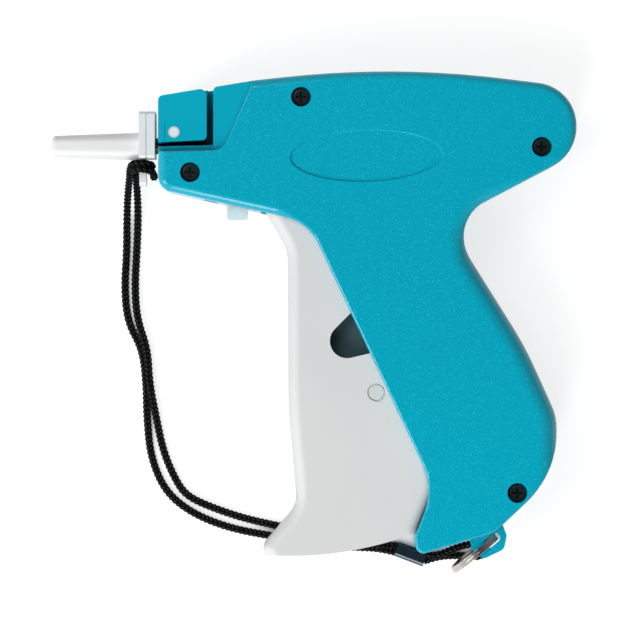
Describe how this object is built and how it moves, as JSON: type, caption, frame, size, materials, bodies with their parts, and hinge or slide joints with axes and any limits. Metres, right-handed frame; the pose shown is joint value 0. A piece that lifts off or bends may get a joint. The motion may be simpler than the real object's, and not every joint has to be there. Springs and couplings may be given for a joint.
{
  "type": "garment tag attacher",
  "caption": "Pistol-grip tool that pushes plastic tag pins through cloth with a hollow needle, with a needle guard on a cord.",
  "frame": {"origin": "the swing lever's axis at the right shell's outer face, which the tool lies on", "axes": "+X to the rear, +Y to the top of the tool, +Z out of its left side"},
  "size_m": [0.1532, 0.1466, 0.0264],
  "materials": {
    "shell_turquoise": "glitter gloss",
    "shell_dark_turquoise": "gloss",
    "screw_black": "satin",
    "trigger_grey": "fine matte",
    "pin_steel": "ground",
    "spring_steel": "drawn wire",
    "lever_grey": "matte",
    "slider_white": "matte",
    "bumper_rubber": "matte",
    "feed_white": "matte",
    "release_clear": "clear gloss",
    "lock_white": "gloss",
    "hub_black": "gloss",
    "cap_grey": "satin",
    "ring_nickel": "polished",
    "cord_black": "braided",
    "ferrule_blue": "gloss"
  },
  "bodies": {
    "shells": {"left_shell": "shell_turquoise", "right_shell": "shell_dark_turquoise", "shell_screws": "screw_black", "trigger_pivot_pin": "pin_steel", "lever_pivot_pin": "pin_steel", "feed_axle": "pin_steel", "cutter_blade": "pin_steel", "slider_bumper": "bumper_rubber", "needle": "pin_steel", "needle_hub": "hub_black", "trigger_spring": "spring_steel", "cord_strand_outer": "cord_black", "cord_strand_inner": "cord_black", "cord_bight": "cord_black", "cord_ferrule": "ferrule_blue"},
    "trigger": {"trigger": "trigger_grey", "trigger_drive_pin": "pin_steel"},
    "lever": {"swing_lever": "lever_grey", "lever_slider_pin": "pin_steel"},
    "slider": {"slider": "slider_white", "push_rod": "pin_steel"},
    "feed_wheel": {"feed_wheel": "feed_white"},
    "feed_arm": {"feed_arm": "feed_white"},
    "release_lever": {"release_lever": "release_clear"},
    "needle_lock": {"needle_lock": "lock_white"},
    "needle_cap": {"needle_cap": "cap_grey", "cord_hitch": "cord_black"},
    "lanyard_ring": {"lanyard_ring": "ring_nickel"}
  },
  "joints": [
    {"name": "trigger_squeeze", "type": "hinge", "parent": "shells", "child": "trigger", "pos_m": [-0.027, 0.0313, 0.0132], "axis": [0, 0, 1], "range_deg": [0, 16.5], "stiffness_Nm_per_rad": 1, "springref_deg": -8.59, "deforming": ["trigger_spring"]},
    {"name": "lever_swing", "type": "hinge", "parent": "shells", "child": "lever", "pos_m": [0, 0, 0.0132], "axis": [0, 0, 1], "range_deg": [0, 52]},
    {"name": "slider_stroke", "type": "slide", "parent": "shells", "child": "slider", "axis": [-1, 0, 0], "range_m": [0, 0.04386]},
    {"name": "feed_wheel_turn", "type": "hinge", "parent": "shells", "child": "feed_wheel", "pos_m": [-0.0436, 0.0388, 0.0122], "axis": [0, 0, 1], "range_deg": [0, 45]},
    {"name": "feed_arm_turn", "type": "hinge", "parent": "shells", "child": "feed_arm", "pos_m": [-0.0436, 0.0388, 0.0152], "axis": [0, 0, 1], "range_deg": [0, 45]},
    {"name": "clip_release", "type": "hinge", "parent": "shells", "child": "release_lever", "pos_m": [-0.0362, 0.0414, 0.018], "axis": [0, 0, 1], "range_deg": [0, 8], "stiffness_Nm_per_rad": 0.05, "springref_deg": -1.15},
    {"name": "needle_lock_turn", "type": "hinge", "parent": "shells", "child": "needle_lock", "pos_m": [-0.0607, 0.0511, 0.0132], "axis": [0, 0, -1], "range_deg": [0, 90]},
    {"name": "guard_pull", "type": "slide", "parent": "shells", "child": "needle_cap", "axis": [-1, 0, 0], "range_m": [0, 0.045], "deforming": ["cord_strand_outer", "cord_strand_inner"]},
    {"name": "ring_spin", "type": "hinge", "parent": "shells", "child": "lanyard_ring", "pos_m": [0.028, -0.071, 0.0128], "axis": [0.6347, -0.7727, 0], "continuous": true}
  ],
  "couplings": [
    {"joint": "lever_swing", "follows": "trigger_squeeze", "ratio": 3.1515},
    {"joint": "slider_stroke", "follows": "trigger_squeeze", "m_per_rad": 0.15231},
    {"joint": "feed_wheel_turn", "follows": "trigger_squeeze", "ratio": 2.7272},
    {"joint": "feed_arm_turn", "follows": "trigger_squeeze", "ratio": 2.7272}
  ]
}
